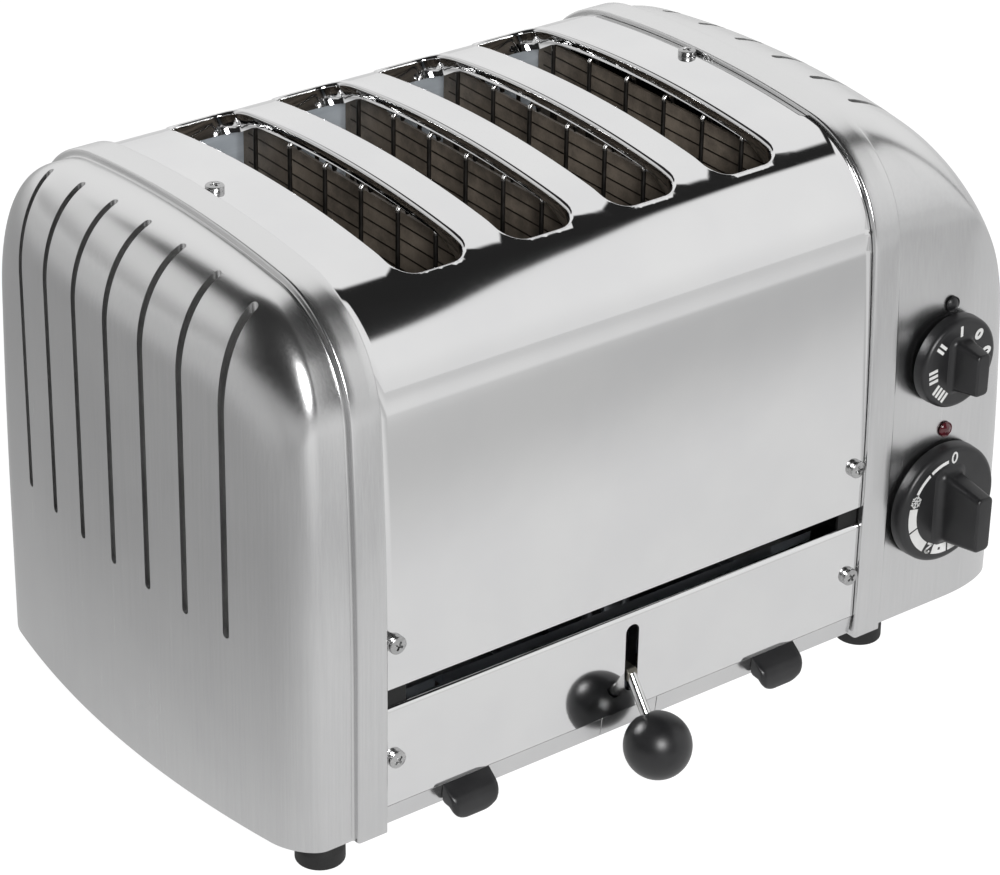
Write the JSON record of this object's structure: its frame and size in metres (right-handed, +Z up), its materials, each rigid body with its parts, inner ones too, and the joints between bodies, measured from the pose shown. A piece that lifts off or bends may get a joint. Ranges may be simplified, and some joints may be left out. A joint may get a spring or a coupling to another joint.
{
  "type": "toaster",
  "caption": "Countertop toaster with cast metal ends, a polished wrapped cover with bread slots, a lift lever, two rotary controls and pull-out crumb trays.",
  "frame": {"origin": "middle of the base of the box round the whole object, on the surface it stands on", "axes": "+X from the vented end to the control end, +Y from the front (lever and controls) to the back, +Z up"},
  "size_m": [0.3606, 0.2448, 0.2245],
  "materials": {
    "cast_metal": "satin, brushed upright",
    "polished_steel": "mirror polished",
    "plain_steel": "plain sheet and bar",
    "black_plastic": "semi-gloss moulded",
    "rubber": "matt",
    "mica": "heat-darkened board with ribbon winding",
    "guard_wire": "heat-darkened wire",
    "red_lens": "clear dark red",
    "pale_moulding": "heat-resistant moulding"
  },
  "bodies": {
    "casing": {"base_plate": "plain_steel", "cable_gland": "black_plastic", "control_end_bulkhead": "plain_steel", "control_end_casting": "cast_metal", "element_board_1": "mica", "element_board_2": "mica", "element_board_3": "mica", "element_board_4": "mica", "element_board_5": "mica", "foot_front_left": "rubber", "foot_front_right": "rubber", "foot_rear_left": "rubber", "foot_rear_right": "rubber", "front_heat_shield": "plain_steel", "front_lower_panel": "polished_steel", "front_screw_lower_left": "plain_steel", "front_screw_lower_right": "plain_steel", "front_screw_upper_left": "plain_steel", "front_screw_upper_right": "plain_steel", "guard_wires_1_left": "guard_wire", "guard_wires_1_right": "guard_wire", "guard_wires_2_left": "guard_wire", "guard_wires_2_right": "guard_wire", "guard_wires_3_left": "guard_wire", "guard_wires_3_right": "guard_wire", "guard_wires_4_left": "guard_wire", "guard_wires_4_right": "guard_wire", "guide_rod_left": "plain_steel", "guide_rod_right": "plain_steel", "marker_plug": "black_plastic", "neon_lens": "red_lens", "rear_heat_shield": "plain_steel", "rear_lower_panel": "polished_steel", "rear_screw_lower_left": "plain_steel", "rear_screw_lower_right": "plain_steel", "rear_screw_upper_left": "plain_steel", "rear_screw_upper_right": "plain_steel", "selector_body": "pale_moulding", "slot_cover": "polished_steel", "terminal_block": "pale_moulding", "timer_body": "pale_moulding", "top_screw_left": "plain_steel", "top_screw_right": "plain_steel", "vent_end_bulkhead": "plain_steel", "vent_end_casting": "cast_metal"},
    "lift": {"bread_carriage": "plain_steel", "lift_lever": "plain_steel", "lever_ball": "black_plastic"},
    "selector": {"selector_knob": "black_plastic", "selector_spindle": "plain_steel"},
    "timer": {"timer_knob": "black_plastic", "timer_spindle": "plain_steel"},
    "tray_left": {"crumb_tray_left": "polished_steel", "tray_pull_left": "black_plastic"},
    "tray_right": {"crumb_tray_right": "polished_steel", "tray_pull_right": "black_plastic"}
  },
  "joints": [
    {"name": "lift_slide", "type": "slide", "parent": "casing", "child": "lift", "axis": [0, 0, 1], "range_m": [0, 0.017]},
    {"name": "selector_turn", "type": "hinge", "parent": "casing", "child": "selector", "pos_m": [0.13075, -0.0914, 0.1234], "axis": [0, 1, 0], "range_deg": [-90, 145]},
    {"name": "timer_turn", "type": "hinge", "parent": "casing", "child": "timer", "pos_m": [0.13075, -0.0914, 0.0615], "axis": [0, 1, 0], "range_deg": [0, 270]},
    {"name": "tray_left_slide", "type": "slide", "parent": "casing", "child": "tray_left", "axis": [0, -1, 0], "range_m": [0, 0.2]},
    {"name": "tray_right_slide", "type": "slide", "parent": "casing", "child": "tray_right", "axis": [0, -1, 0], "range_m": [0, 0.2]}
  ]
}
